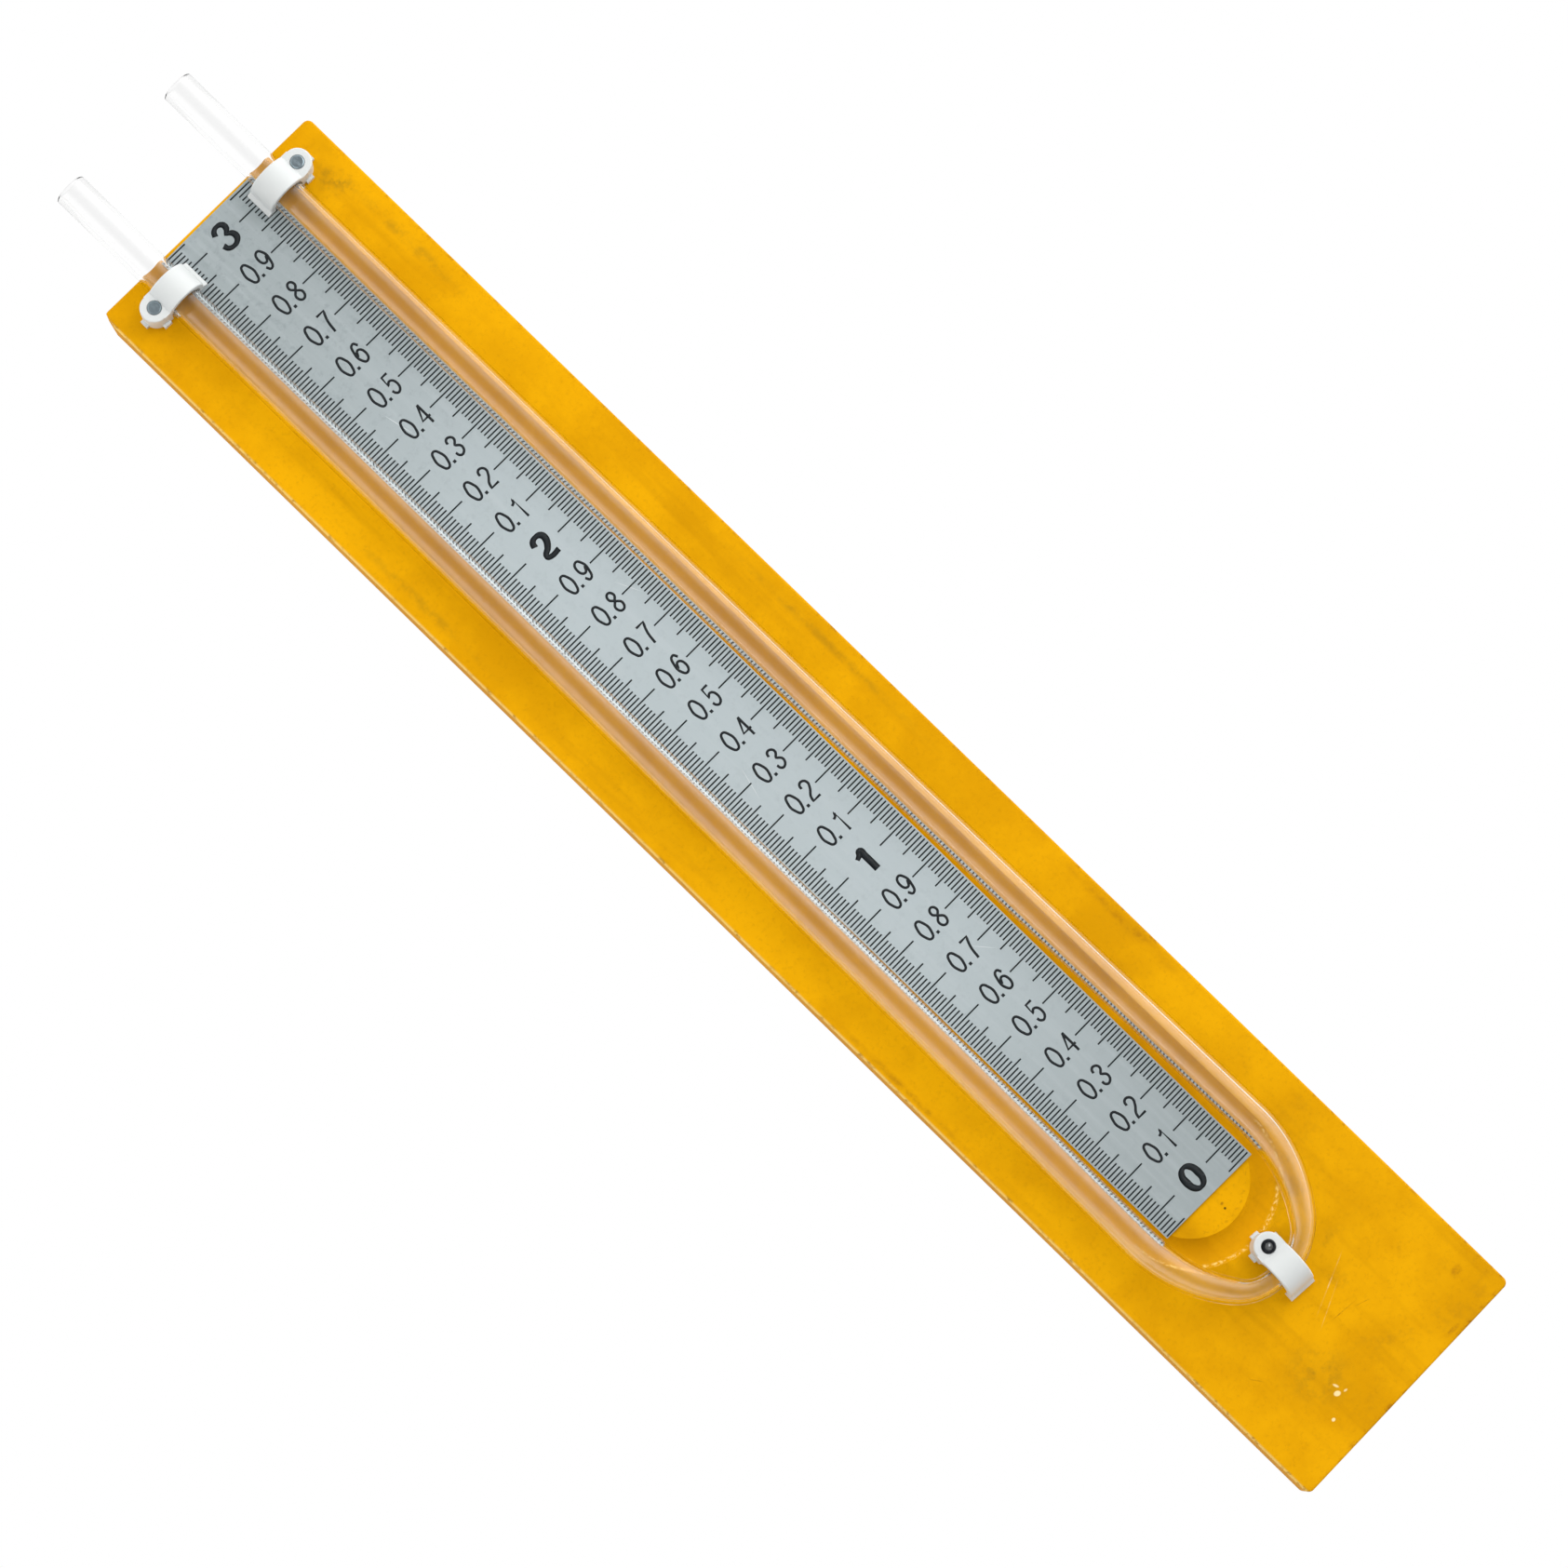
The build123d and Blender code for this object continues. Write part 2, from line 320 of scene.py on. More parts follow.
# Middle and half-sizes in mm, turn in degrees, softness, strength, colour.
board_marks_and_painted_shadow = (
    ((26.2, 171.5), (4.5, 7.0), 10, 0.9, 0.75, olive),
    ((28.0, 150.0), (2.2, 22.0), 0, 0.9, 0.45, olive),
    ((-28.5, 90.0), (1.8, 30.0), 0, 0.9, 0.35, olive),
    ((28.6, 20.0), (1.6, 40.0), 0, 0.9, 0.4, olive),
    ((30.2, -70.0), (1.5, 24.0), 0, 0.9, 0.45, brown),
    ((-30.6, -60.0), (1.2, 30.0), 0, 0.9, 0.45, brown),
    ((2.0, -164.2), (0.16, 4.2), 84, 0.6, 0.8, brown),
    ((6.4, -166.0), (0.12, 2.6), 70, 0.6, 0.7, brown),
    ((-22.2, -161.2), (0.14, 2.2), 35, 0.6, 0.9, brown),
    ((-20.6, -162.8), (0.12, 1.6), 20, 0.6, 0.8, brown),
    # Painted shadow below the bend: the large soft olive patch.
    ((-12.0, -170.0), (9.0, 11.0), 30, 1.0, 0.55, olive),
    ((4.0, -158.0), (0.2, 9.0), -68, 0.8, 0.5, pale),
    ((1.0, -161.0), (0.16, 7.0), -66, 0.8, 0.4, pale),
    ((-16.7, -178.9), (0.55, 0.45), 0, 0.4, 0.95, pale),
    ((-12.0, -175.6), (0.7, 0.95), 62, 0.4, 0.95, pale),
    ((-11.0, -174.2), (0.35, 0.9), 20, 0.5, 0.8, pale),
    ((-10.2, -176.4), (0.3, 0.6), 80, 0.5, 0.7, pale),
    ((25.8, -176.2), (2.2, 1.6), 20, 0.8, 0.6, brown),
    ((15.8, -184.4), (3.0, 0.7), 0, 0.7, 0.7, brown),
    ((0.0, -130.1), (0.34, 0.34), 0, 0.4, 0.9, dark),
    ((0.3, -128.9), (0.6, 0.45), 0, 0.8, 0.7, brown),
)
large_mark = 1
speckle = window(paint, noise(paint, where, 230, 6, 0.7), 0.42, 0.62, 0.15, 1.0)
for centre, size, turn, soft, strength, tint in board_marks_and_painted_shadow:
    mark_pattern = times(paint, patch(paint, centre, size, turn, soft), strength)
    if max(size) > large_mark:
        mark_pattern = times(paint, mark_pattern, speckle)
    colour = blend(paint, mark_pattern, colour, tint)
print("marks on the board:", len(board_marks_and_painted_shadow))

# %% [markdown]
# Round the bend a painted highlight lies on the groove's outer rim as a broken pale line, and
# a broken darker line lies on its inside. Each line is a ring, one round patch less a smaller
# one, kept only below the legs and broken up by noise.

# %% Painted board: painted highlight and darker line round the groove
groove_middle = (-0.6, -120.05)
lines_full, lines_gone = -124 * MM, -119 * MM
ring_soft = 0.03
# Inner and outer radius in mm, size of the noise, strength, colour.
groove_highlight_and_dark_line = (
    # Painted highlight: the pale outer ring. The next row is a darker inner line.
    (19.5, 20.2, 1500, 1.0, srgb(252, 214, 120)),
    (12.0, 12.7, 1100, 0.25, srgb(176, 112, 10)),
)
below_legs = window(paint, lengthwise, lines_full, lines_gone, 1.0, 0.0)
for inner, outer, scale, strength, tint in groove_highlight_and_dark_line:
    outside = patch(paint, groove_middle, (outer, outer), 0, ring_soft)
    inside = patch(paint, groove_middle, (inner, inner), 0, ring_soft)
    ring = times(paint, math_node(paint, "SUBTRACT", outside, inside), below_legs)
    breaks = window(paint, noise(paint, where, scale, 2, 0.6), 0.45, 0.62, high_out=strength)
    colour = blend(paint, times(paint, ring, breaks), colour, tint)
colour_into(paint, colour)
bump_into(paint, noise(paint, where, 900, 3, 0.6), strength=0.2, distance=0.1 * MM)
dress("backboard", paint)
print("finished paint:", len(paint.node_tree.nodes), "nodes")

# %% [markdown]
# The scale is thin matt aluminium. It mirrors a pale room softly, so it is part metal and
# part rough. It is palest in the middle of its length, a fine grain runs along it, and it is
# mottled most at its upper end. A few short bright scratches lie on it.

# %% Scale plate
satin = finish("satin_aluminium", srgb(186, 196, 199), roughness=0.42, metallic=0.45)
grain = object_coordinates(satin, (1.0, 0.05, 1.0))
sheet_place = object_coordinates(satin)
sheet_along = place_parts(satin)[1]
lower_end, upper_end = (-125 * MM, -30 * MM), (70 * MM, 170 * MM)
rising = window(satin, sheet_along, *lower_end)
falling = window(satin, sheet_along, *upper_end, 1.0, 0.0)
sheet = blend(satin, times(satin, rising, falling), srgb(176, 186, 188), srgb(199, 210, 213))
grain_lines = window(satin, noise(satin, grain, 700, 2, 0.5), 0.4, 0.9, high_out=0.3)
sheet = blend(satin, grain_lines, sheet, srgb(214, 222, 225))
mottled_end = (80 * MM, 170 * MM)
mottle = window(satin, noise(satin, sheet_place, 500, 5, 0.75), 0.5, 0.7, high_out=0.5)
mottle = times(satin, mottle, window(satin, sheet_along, *mottled_end, 0.25, 1.0))
sheet = blend(satin, mottle, sheet, srgb(150, 160, 164))
# Middle and half-sizes in mm, turn in degrees.
sheet_scratches = (
    ((-3.4, 122.0), (0.12, 5.0), 12),
    ((2.6, 108.0), (0.1, 3.2), -35),
    ((6.5, 60.0), (0.1, 4.0), 25),
    ((-6.0, 10.0), (0.1, 5.0), -15),
    ((4.0, -52.0), (0.1, 3.5), 40),
)
for centre, size, turn in sheet_scratches:
    sheet = blend(satin, patch(satin, centre, size, turn, 0.6), sheet, srgb(226, 232, 234))
colour_into(satin, sheet)
dress("scale_plate", satin)
print("scratches on the plate:", len(sheet_scratches))

# %% [markdown]
# The ink of the scale is a dull near-black, and the tape is hardly seen under the plate, so
# both are plain finishes.

# %% Tape and ink
dress("scale_tape", finish("adhesive_tape", srgb(206, 198, 172), roughness=0.7))
ink = finish("printed_ink", srgb(20, 26, 30), roughness=0.6)
print("plain finishes: tape and ink")

# %% [markdown]
# The clips are white moulded plastic. A little subsurface scattering lets light sink in, as
# it does in the real, slightly translucent plastic.

# %% White clips
plastic = finish("white_plastic", srgb(216, 219, 218), roughness=0.4)
principled(plastic).inputs["Subsurface Weight"].default_value = 0.15
principled(plastic).inputs["Subsurface Radius"].default_value = (1.0, 1.0, 1.0)
principled(plastic).inputs["Subsurface Scale"].default_value = MM
for side in ("left", "right", "bend"):
    dress("clip_" + side, plastic)
print("white clips: 3")

# %% [markdown]
# The two upper nails are clean steel with a slightly uneven head. The nail of the bend is
# tarnished grey in the middle of its head, with painted shade round its rim and one small
# painted highlight as a glint.

# %% Nails
steel = finish("nail_steel", srgb(168, 184, 192), roughness=0.3, metallic=1.0)
uneven = noise(steel, object_coordinates(steel), 700, 2, 0.5)
bump_into(steel, uneven, strength=0.6, distance=0.3 * MM)
tarnished_shaded_steel = finish("tarnished_steel_painted_shade_and_glint", srgb(120, 118, 112), roughness=0.36, metallic=1.0)
pitted = noise(tarnished_shaded_steel, object_coordinates(tarnished_shaded_steel), 900, 3, 0.6)
bump_into(tarnished_shaded_steel, pitted, strength=0.9, distance=0.5 * MM)
nail_low, nail_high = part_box("nail_bend")
nail_place = ((nail_low.x + nail_high.x) / 2 / MM, (nail_low.y + nail_high.y) / 2 / MM)
# Painted shade darkens the rim of the bend nail's head; the middle is tarnished grey.
painted_recess_shade, worn_steel, painted_glint_colour = srgb(46, 48, 52), srgb(120, 122, 122), srgb(240, 242, 244)
head_middle = patch(tarnished_shaded_steel, nail_place, (1.0, 1.0), 0, 0.3)
head_tarnish_and_shade = blend(tarnished_shaded_steel, head_middle, painted_recess_shade, worn_steel)
# A painted highlight: one small glint on the head.
glint_place = (nail_place[0] + 0.3, nail_place[1] + 0.1)
glint = patch(tarnished_shaded_steel, glint_place, (0.4, 0.25), 50, 0.4)
colour_into(tarnished_shaded_steel, blend(tarnished_shaded_steel, glint, head_tarnish_and_shade, painted_glint_colour))
for side, metal in (("left", steel), ("right", steel), ("bend", tarnished_shaded_steel)):
    dress("nail_" + side, metal)
print("nail of the bend at", [round(value, 1) for value in nail_place], "mm")

# %% [markdown]
# The tube is clear glass: the Principled shader with full transmission and the refractive
# index of soda-lime glass bends the view of the scale marks beside it, as the real tube does.
# Light that is on its way to the board would be stopped by such a shader and leave a dark
# shadow, so for shadow rays a plain Transparent shader takes its place.

# %% Clear glass
white = (1.0, 1.0, 1.0, 1.0)
glass = finish("clear_glass", white, roughness=0.0)
principled(glass).inputs["Transmission Weight"].default_value = 1.0
principled(glass).inputs["IOR"].default_value = 1.5
clear = node(glass, "ShaderNodeBsdfTransparent")
clear.inputs["Color"].default_value = white
shadow_ray = node(glass, "ShaderNodeLightPath").outputs["Is Shadow Ray"]
passing = node(glass, "ShaderNodeMixShader")
link(glass, shadow_ray, passing.inputs[0])
link(glass, principled(glass).outputs[0], passing.inputs[1])
link(glass, clear.outputs[0], passing.inputs[2])
link(glass, passing.outputs[0], glass.node_tree.nodes["Material Output"].inputs["Surface"])
print("clear glass, index", round(principled(glass).inputs["IOR"].default_value, 2))

# %% [markdown]
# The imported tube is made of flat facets, and clear glass shows each one as a broken glint. So
# the tube is drawn again with smooth sides, along the same path: two bowed legs, and a bend
# whose bottom is the tightest and thinnest, where the flame softened the glass. Its left half
# sags a little outwards.

# %% The tube's measures, in mm
leg_spacing = 33.4
leg_bow = 1.9
tube_radius = 4.0
tube_wall = 1.0
rim_round = 0.3
bend_tube_radius = 2.5
bottom_radius = 13.5
bottom_angle = math.radians(50)
bend_sag = 1.1
bow_above_board = 0.5
bend_above_foot = 65.8
height_at_clips = 2.8
height_at_bend = 4.05
tube_low, tube_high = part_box("u_tube")
tube_middle = (tube_low.x + tube_high.x) / 2 / MM
mouth_level = tube_high.y / MM
bow_start = board_high.y / MM + bow_above_board
bend_start = board_low.y / MM + bend_above_foot
print("legs", leg_spacing, "mm apart, from y =", round(bend_start, 2), "to", round(mouth_level, 2), "mm")

# %% [markdown]
# The rest follows from those measures. A leg is an arc of a large circle. The bend has a
# tighter arc at its bottom and a wider one on each side, whose radius is what is left to
# reach the legs. The whole tube is tilted a little, because the bend's clip holds it higher
# than the upper clips do.

# %% What the tube's measures lead to
bow_length = bow_start - bend_start
bow_radius = (bow_length ** 2 + leg_bow ** 2) / (2 * leg_bow)
bow_angle = math.asin(bow_length / bow_radius)
bend_turn = math.pi / 2 + bow_angle
side_radius = (leg_spacing / 2 + leg_bow - bottom_radius * math.sin(bottom_angle)) / (
    math.cos(bow_angle) - math.sin(bottom_angle))
bend_bottom = bend_start - bottom_radius * (1 - math.cos(bottom_angle)) - side_radius * (
    math.cos(bottom_angle) + math.sin(bow_angle))
clip_boxes = [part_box("clip_left"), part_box("clip_right")]
clips_level = sum(low.y + high.y for low, high in clip_boxes) / 4 / MM
tilt = math.atan((height_at_bend - height_at_clips) / (clips_level - bend_start))
print("bend bottom at y =", round(bend_bottom, 2), "mm, tilt", round(math.degrees(tilt), 3))

# %% [markdown]
# The path is a row of knots, each with the tube's radius at that place. One half is worked
# out from the bottom of the bend to the mouth, and the other half is its mirror image, apart
# from the sag.


# %% Knots of the tube's path
def bend_knot(side, heading):
    """Point and radius of the bend, on side -1 or 1, where its path has turned by heading."""
    low = min(heading, bottom_angle)
    x = bottom_radius * math.sin(low) + side_radius * (math.sin(heading) - math.sin(low))
    y = bend_bottom + bottom_radius * (1 - math.cos(low))
    y += side_radius * (math.cos(low) - math.cos(heading))
    if side < 0:
        sag = bend_sag * math.sin(math.pi * heading / bend_turn) ** 2
        x += sag * math.sin(heading)
        y -= sag * math.cos(heading)
    swell = math.sin(math.pi / 2 * heading / bend_turn) ** 4
    return side * x, y, bend_tube_radius + (tube_radius - bend_tube_radius) * swell


def leg_knot(side, drop):
    """Point and radius of a leg, drop mm below the start of its bow."""
    x = leg_spacing / 2 + bow_radius - math.sqrt(bow_radius ** 2 - drop ** 2)
    return side * x, bow_start - drop, tube_radius


def half_tube(side, bend_steps=40, leg_steps=12):
    """Knots of half the tube, from the bottom of the bend to the mouth."""
    knots = [bend_knot(side, bend_turn * step / bend_steps) for step in range(bend_steps + 1)]
    knots += [leg_knot(side, bow_length * (1 - step / leg_steps)) for step in range(1, leg_steps + 1)]
    return knots + [(side * leg_spacing / 2, mouth_level, tube_radius)]


tube_knots = half_tube(-1)[:0:-1] + half_tube(1)
print("tube path:", len(tube_knots), "knots")

# %% [markdown]
# The tube is a curve through the knots with a round bevel, made a mesh. Solidify gives it a
# wall inwards, and Bevel rounds the rims of its two mouths, as a flame does.

# %% The smooth glass tube
deselect_all()
bpy.ops.curve.primitive_bezier_curve_add(location=(0, 0, 0))
tube = bpy.context.object
tube.data.resolution_u = 1
tube.data.bevel_depth = MM
tube.data.bevel_resolution = 14
tube_line = tube.data.splines[0]
tube_line.bezier_points.add(len(tube_knots) - len(tube_line.bezier_points))
for knot, (x, y, radius) in zip(tube_line.bezier_points, tube_knots):
    knot.handle_left_type = knot.handle_right_type = "VECTOR"
    knot.co = (x * MM, y * MM, 0)
    knot.radius = radius
bpy.ops.object.convert(target="MESH")
tube = bpy.context.object
wall = tube.modifiers.new("wall", "SOLIDIFY")
wall.thickness = tube_wall * MM
wall.offset = -1
wall.use_even_offset = True
bpy.ops.object.modifier_apply(modifier=wall.name)
rims = tube.modifiers.new("rims", "BEVEL")
rims.limit_method = "ANGLE"
rims.angle_limit = math.radians(60)
rims.width = rim_round * MM
rims.segments = 3
bpy.ops.object.modifier_apply(modifier=rims.name)
print("wall and rims:", len(tube.data.polygons), "faces")

# %% [markdown]
# The tube was drawn flat. It is now tilted about the line between the upper clips, lifted to
# its height there and moved to the middle of the groove.

# %% The tube in its groove
tube.rotation_euler = (-tilt, 0, 0)
tube.location = (
    tube_middle * MM,
    clips_level * (1 - math.cos(tilt)) * MM,
    board_face + (height_at_clips + clips_level * math.sin(tilt)) * MM,
)
tube = join([tube], "glass_tube")
bpy.ops.object.shade_smooth()
cover(tube, glass)
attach(tube, "root")
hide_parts("u_tube")
print("glass tube:", len(tube.data.polygons), "faces")

# %% [markdown]
# The scale has a mark every millimetre along both edges. A mark is a thin block of ink. One
# block is made, an Array modifier repeats it, and longer marks are the short ones with a
# second block added to their inner end, so no two blocks lie in the same place.

# %% Measures of the scale marks
ink_height = 0.012 * MM
ink_sink = 0.004 * MM
mark_width = 0.36 * MM
edge_gap = 0.3 * MM
mark_lengths = {"left": (3.8 * MM, 5.6 * MM, 7.7 * MM), "right": (4.1 * MM, 6.0 * MM, 8.1 * MM)}
half_centimetre = 5 * MM
centimetre = 10 * MM
scale_foot = zero_line - half_centimetre
millimetre_marks, half_marks, centimetre_marks = 311, 63, 31
print("marks from y =", round(scale_foot / MM, 2), "mm")


# %% Scale marks
def mark_row(outer, inner, first, pitch, count):
    """A row of marks from x = outer to x = inner, the first at y = first."""
    bpy.ops.mesh.primitive_cube_add(size=1, location=(
        (outer + inner) / 2, first, plate_face + (ink_height - ink_sink) / 2))
    mark = bpy.context.object
    mark.scale = (abs(inner - outer), mark_width, ink_height + ink_sink)
    bpy.ops.object.transform_apply(location=False, rotation=False, scale=True)
    row = mark.modifiers.new("repeat", "ARRAY")
    row.count = count
    row.use_relative_offset = False
    row.use_constant_offset = True
    row.constant_offset_displace = (0, pitch, 0)
    bpy.ops.object.modifier_apply(modifier=row.name)
    return mark


rows = []
for side, direction, edge in (("left", 1, plate_low.x), ("right", -1, plate_high.x)):
    short, medium, long = mark_lengths[side]
    start = edge + direction * edge_gap
    short_end = start + direction * short
    medium_end = start + direction * medium
    long_end = start + direction * long
    deselect_all()
    rows.append(mark_row(start, short_end, scale_foot, MM, millimetre_marks))
    rows.append(mark_row(short_end, medium_end, scale_foot, half_centimetre, half_marks))
    rows.append(mark_row(medium_end, long_end, zero_line, centimetre, centimetre_marks))
marks = join(rows, "scale_marks")
cover(marks, ink)
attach(marks, "root")
print("marks:", len(marks.data.polygons), "faces")

# %% [markdown]
# The figures are drawn as a sign painter would: each is one stroke of a pen that follows a
# few points, and the 4 has a second stroke for its stem. A point is its place in mm about the
# figure's middle, and a point marked as a corner isn't rounded. True closes the stroke.

# %% Strokes of the light figures
light_pen = 0.3
light_strokes = {
    "0": (True, [(-1.0, 1.1), (0, 2.5), (1.0, 1.1), (1.0, -1.1), (0, -2.5), (-1.0, -1.1)]),
    "1": (False, [(-0.85, 1.45, "corner"), (-0.1, 1.75), (0.25, 2.55, "corner"),
                  (0.25, -2.75, "corner")]),
    "2": (False, [(-1.0, 1.25), (-0.75, 2.2), (0.05, 2.5), (0.95, 1.6), (0.45, 0.1), (-0.7, -1.3),
                  (-1.05, -2.5, "corner"), (1.1, -2.5, "corner")]),
    "3": (False, [(-1.0, 1.4), (-0.7, 2.25), (0, 2.5), (0.9, 1.5), (0, 0.2, "corner"),
                  (1.0, -1.1), (0, -2.5), (-0.75, -2.2), (-1.05, -1.2)]),
    "4": (False, [(0.5, 2.5, "corner"), (-1.15, -1.0, "corner"), (1.15, -1.0, "corner")]),
    "4 stem": (False, [(0.5, 2.6, "corner"), (0.5, -2.75, "corner")]),
    "5": (False, [(0.9, 2.5, "corner"), (-0.7, 2.5, "corner"), (-0.9, 0.1, "corner"), (0.1, 0.75),
                  (1.0, -0.7), (0.05, -2.5), (-0.75, -2.15), (-1.05, -1.3)]),
    "6": (False, [(0.95, 1.5), (0.15, 2.5), (-1.0, 0.6), (-0.95, -1.5), (0, -2.5), (1.0, -0.9),
                  (0.1, 0.7), (-0.95, -0.5)]),
    "7": (False, [(-1.1, 2.5, "corner"), (1.05, 2.5, "corner"), (0.1, 0.2), (-0.35, -2.75, "corner")]),
    "8": (True, [(0, 2.5), (0.85, 1.4), (0, 0.2), (-1.0, -1.2), (0, -2.5), (1.0, -1.2), (0, 0.2),
                 (-0.85, 1.4)]),
    "9": (False, [(-0.95, -1.5), (-0.15, -2.5), (1.0, -0.6), (0.95, 1.5), (0, 2.5), (-1.0, 0.9),
                  (-0.1, -0.7), (0.95, 0.5)]),
}
print("light strokes:", len(light_strokes))

# %% [markdown]
# The whole decimetres, 0 to 3, are heavier figures with thick sides and thin tops. A third
# number at a point is the pen's half-width there, so the stroke swells and thins on its way.

# %% Strokes of the heavy figures
heavy_strokes = {
    "0": (True, [(-1.75, 0, 0.92), (-1.2, 2.2, 0.75), (0, 2.85, 0.5), (1.2, 2.2, 0.75),
                 (1.75, 0, 0.92), (1.2, -2.2, 0.75), (0, -2.85, 0.5), (-1.2, -2.2, 0.75)]),
    "1": (False, [(-1.5, 1.35, 0.5), (-0.5, 1.8, 0.64), (0.35, 2.45, 0.8), (0.45, 1.0, 0.84),
                  (0.45, -3.1, 0.84)]),
    "2": (False, [(-1.7, 1.2, 0.78), (-1.25, 2.35, 0.72), (0, 2.8, 0.6), (1.3, 2.25, 0.8),
                  (1.45, 1.0, 0.85), (0.4, -0.7, 0.75), (-1.3, -2.2, 0.6), (-0.6, -2.7, 0.62),
                  (1.95, -2.7, 0.66)]),
    "3": (False, [(-1.75, 1.4, 0.68), (-1.25, 2.4, 0.62), (0, 2.9, 0.52), (1.3, 2.3, 0.72),
                  (1.3, 1.1, 0.74), (0.1, 0.25, "corner"), (1.5, -0.5, 0.72), (1.75, -1.7, 0.8),
                  (0.95, -2.7, 0.62), (-0.2, -2.95, 0.54), (-1.5, -2.45, 0.62), (-1.9, -1.35, 0.7)]),
}
print("heavy strokes:", len(heavy_strokes))

# %% [markdown]
# The pen is a curve with a four-sided bevel, whose width can change at each point. Pressed
# flat, the stroke is a thin layer of ink. The decimal point is a small square block.


# %% Drawing a figure
point_size = 0.72 * MM


def draw_stroke(points, closed, pen, centre):
    """One pen stroke through the points, in mm about the centre, as a flat mesh of ink."""
    deselect_all()
    bpy.ops.curve.primitive_bezier_curve_add(location=(0, 0, 0))
    stroke = bpy.context.object
    path = stroke.data
    path.resolution_u = 5
    path.bevel_depth = MM
    path.bevel_resolution = 0
    path.use_fill_caps = True
    spline = path.splines[0]
    spline.bezier_points.add(len(points) - len(spline.bezier_points))
    spline.use_cyclic_u = closed
    for knot, point in zip(spline.bezier_points, points):
        corner = point[-1] == "corner"
        knot.handle_left_type = knot.handle_right_type = "VECTOR" if corner else "AUTO"
        knot.co = (point[0] * MM, point[1] * MM, 0)
        knot.radius = point[2] if len(point) > 2 and not corner else pen
    bpy.ops.object.convert(target="MESH")
    stroke = bpy.context.object
    stroke.scale = (1, 1, ink_height / MM)
    stroke.location = (centre[0], centre[1], plate_face)
    return stroke


def draw_point(centre):
    """The square decimal point."""
    deselect_all()
    bpy.ops.mesh.primitive_cube_add(size=1, location=(centre[0], centre[1], plate_face))
    bpy.context.object.scale = (point_size, point_size, 2 * ink_height)
    return bpy.context.object


# %% [markdown]
# There is a figure at each centimetre: a heavy one at the whole decimetres, and between them
# 0.1 to 0.9, each made of a zero, a point and a digit.

# %% Figures along the scale
label_line = plate_middle + 0.4 * MM
digit_offset = 2.25 * MM
point_offset = 0.35 * MM
point_drop = 2.4 * MM
figure_drop = -0.1 * MM
figures = []
for tenth in range(centimetre_marks):
    figure_line = zero_line + tenth * 10 * MM + figure_drop
    unit, digit = divmod(tenth, 10)
    if digit == 0:
        closed, points = heavy_strokes[str(unit)]
        figures.append(draw_stroke(points, closed, light_pen, (label_line, figure_line)))
        continue
    closed, points = light_strokes["0"]
    figures.append(draw_stroke(points, closed, light_pen, (label_line - digit_offset, figure_line)))
    figures.append(draw_point((label_line - point_offset, figure_line - point_drop)))
    stroke_names = ["4", "4 stem"] if digit == 4 else [str(digit)]
    for stroke_name in stroke_names:
        closed, points = light_strokes[stroke_name]
        figures.append(draw_stroke(points, closed, light_pen, (label_line + digit_offset, figure_line)))
figures = join(figures, "scale_figures")
cover(figures, ink)
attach(figures, "root")
print("figures:", len(figures.data.polygons), "faces")

# %% [markdown]
# The photograph shows the object on pure white. So the floor glows white to the camera, in
# reflections and through the glass, and no shadow shows on it. To all other light it is matt
# paper, which passes a soft light back to the object.

# %% Floor
floor_size = 6
floor_gap = 0.2 * MM
bpy.ops.mesh.primitive_plane_add(size=floor_size, location=(0, 0, board_low.z - floor_gap))
floor = bpy.context.object
floor.name = "floor"
paper = bpy.data.materials.new("white_paper")
paper.use_nodes = True
paper.node_tree.nodes.clear()
matt = node(paper, "ShaderNodeBsdfDiffuse")
matt.inputs["Color"].default_value = (0.8, 0.8, 0.8, 1)
bright = node(paper, "ShaderNodeEmission")
rays = node(paper, "ShaderNodeLightPath").outputs
seen = math_node(paper, "MAXIMUM", rays["Is Camera Ray"], rays["Is Glossy Ray"])
seen = math_node(paper, "MAXIMUM", seen, rays["Is Transmission Ray"])
either = node(paper, "ShaderNodeMixShader")
link(paper, seen, either.inputs[0])
link(paper, matt.outputs[0], either.inputs[1])
link(paper, bright.outputs[0], either.inputs[2])
surface = node(paper, "ShaderNodeOutputMaterial")
link(paper, either.outputs[0], surface.inputs["Surface"])
floor.data.materials.append(paper)
print("floor:", floor_size, "m wide")

# %% [markdown]
# The room is a white light tent that isn't lit evenly. The right wall is the brightest, and
# both side walls glow near the horizon: the glass mirrors them as the long bright lines along
# its edges. Overhead, where the camera stands, the room is darker. In the world, Generated is
# the direction looked in, so its X and Z say how far to the side and how high.

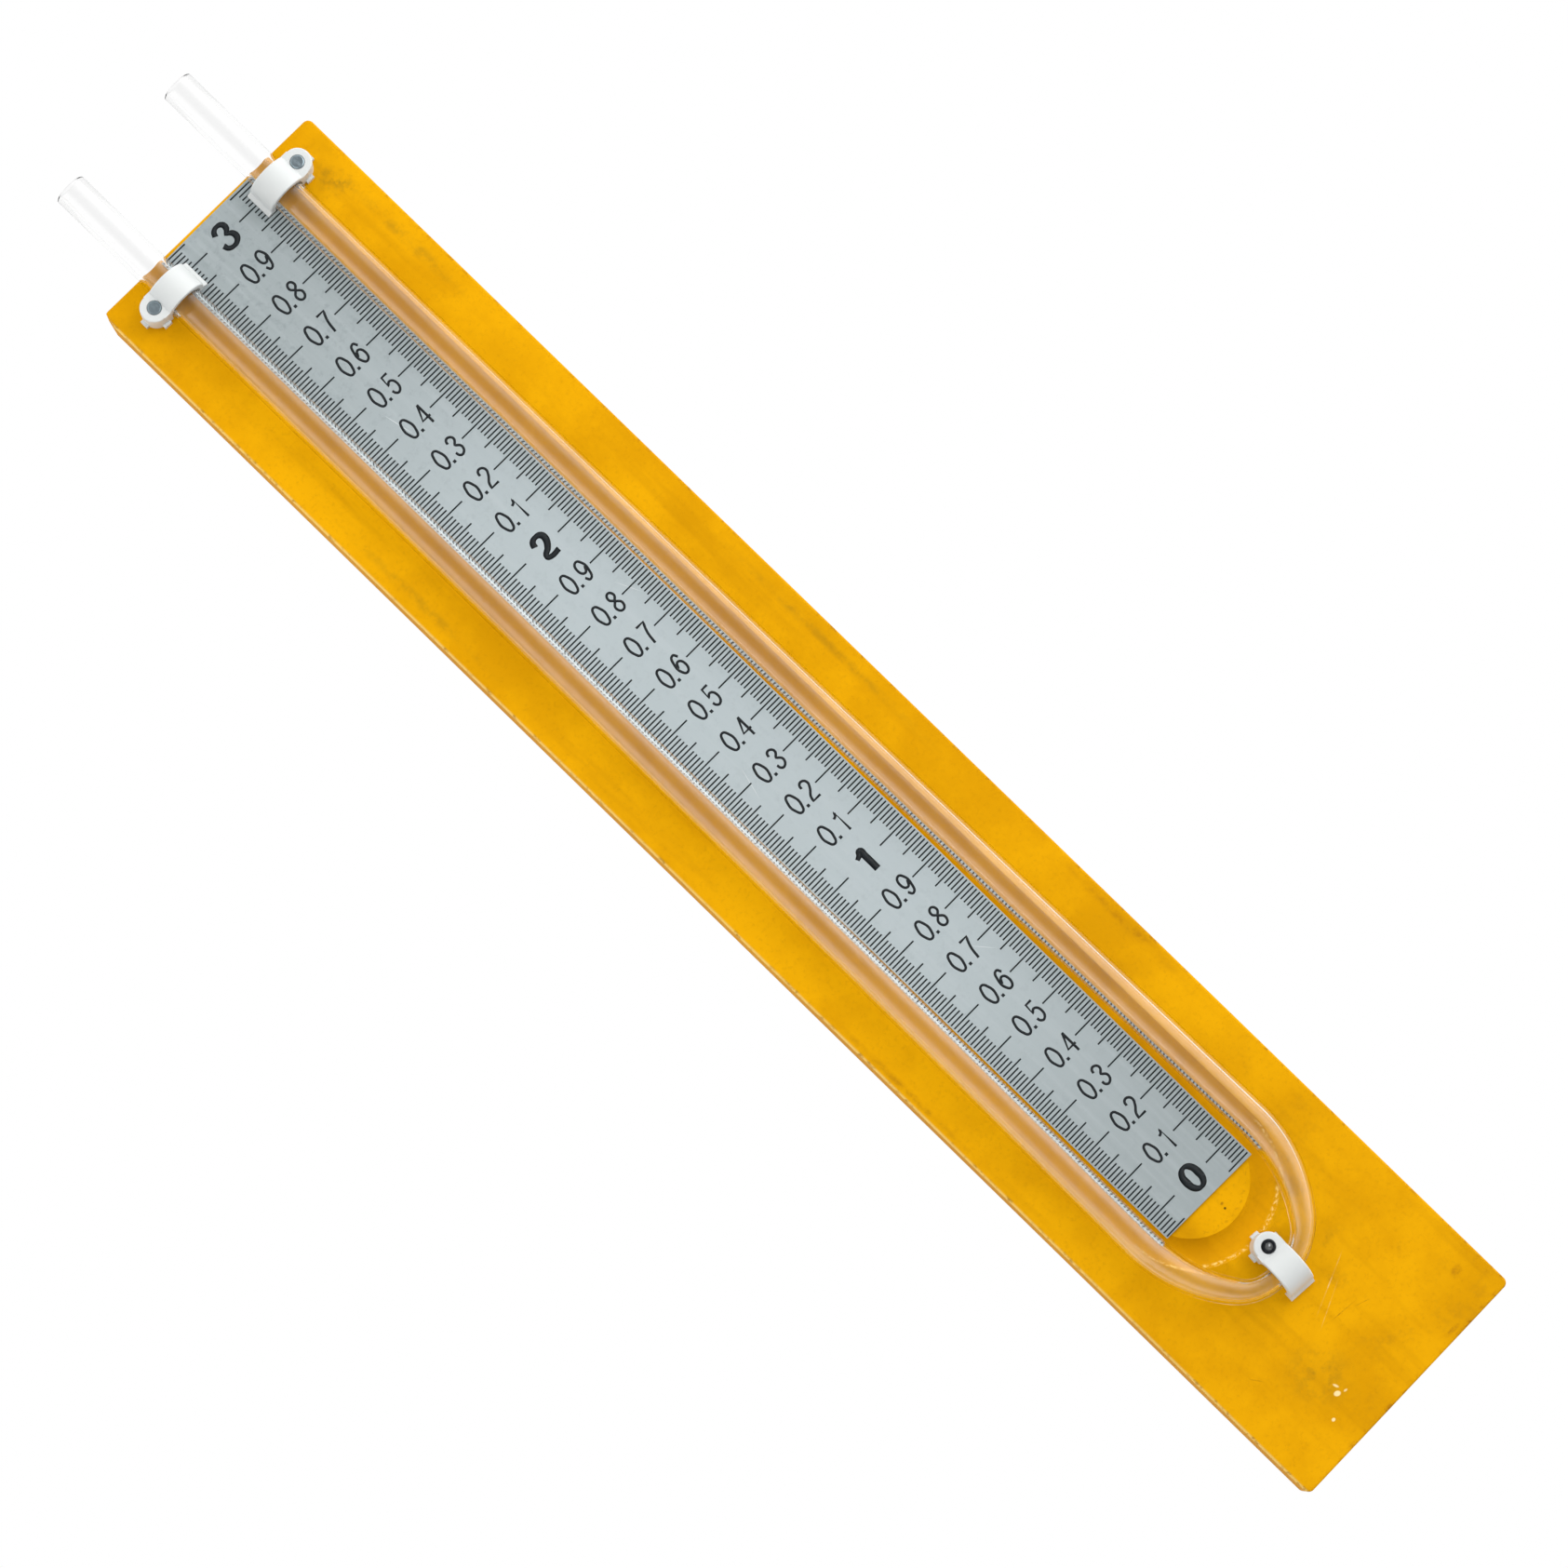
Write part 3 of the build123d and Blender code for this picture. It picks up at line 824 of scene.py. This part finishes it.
# %% Room
world = bpy.data.worlds.new("white_tent")
bpy.context.scene.world = world
world.use_nodes = True
world.node_tree.nodes.clear()
room_strength = 0.62
overhead_share = 0.75
wall_light, right_wall_light, glow_light = 0.75, 3.0, 2.5
heading = node(world, "ShaderNodeTexCoord")
axes = node(world, "ShaderNodeSeparateXYZ")
link(world, heading.outputs["Generated"], axes.inputs[0])
overhead = window(world, axes.outputs["Z"], 0.6, 0.97, 1.0, overhead_share)
right_wall = window(world, axes.outputs["X"], 0.1, 0.9, wall_light, right_wall_light)
sideways = math_node(world, "ABSOLUTE", axes.outputs["X"], 0.0)
side_glow = window(world, sideways, 0.97, 1.0, high_out=glow_light)
room_light = math_node(world, "ADD", times(world, overhead, right_wall), side_glow)
sky = node(world, "ShaderNodeBackground")
sky.inputs["Strength"].default_value = room_strength
link(world, room_light, sky.inputs["Color"])
output = node(world, "ShaderNodeOutputWorld")
link(world, sky.outputs[0], output.inputs["Surface"])
print("room:", len(world.node_tree.nodes), "nodes")

# %% [markdown]
# Three soft lamps stand a little over a metre away, on the right, on the left and beyond the
# top of the board. They light the pieces, but they aren't seen in reflections or through the
# glass, because their bright shapes would break up into specks in the thin tube.


# %% Lamps
def lamp(name, place, target, size, power):
    """A soft lamp that lights the piece and isn't mirrored in it."""
    deselect_all()
    bpy.ops.object.light_add(type="AREA", location=place)
    made = bpy.context.object
    made.name = name
    made.data.shape = "RECTANGLE"
    made.data.size, made.data.size_y = size
    made.data.energy = power
    made.visible_glossy = False
    made.visible_transmission = False
    made.rotation_euler = (Vector(target) - Vector(place)).to_track_quat("-Z", "Y").to_euler()


board_middle = (0, 0, 0)
tall, wide = (0.3, 1.2), (0.9, 0.4)
lamp("lamp_right", place=(0.75, 0.10, 0.75), target=board_middle, size=tall, power=3.5)
lamp("lamp_left", place=(-0.85, 0.25, 0.65), target=board_middle, size=tall, power=4.2)
lamp("lamp_top", place=(-0.1, 0.9, 0.9), target=board_middle, size=wide, power=3.4)
print("lamps: 3")

# %% [markdown]
# The camera stands about a metre above the board, a little to its left, and is turned so
# that the board runs from the top left to the bottom right of the picture. Its place and
# angles were worked out from the board's four corners in the photograph.

# %% Camera
camera_place = (-0.1298, -0.0532, 1.0083)
camera_angles = (7.553, -2.785, -45.739)
bpy.ops.object.camera_add(location=camera_place)
camera = bpy.context.object
camera.rotation_euler = tuple(math.radians(angle) for angle in camera_angles)
camera.data.sensor_width = 36
camera.data.lens = 104.69
bpy.context.scene.camera = camera
bpy.context.scene.view_settings.view_transform = "Standard"
print("camera", camera_place[2], "m up, lens", round(camera.data.lens, 2), "mm")
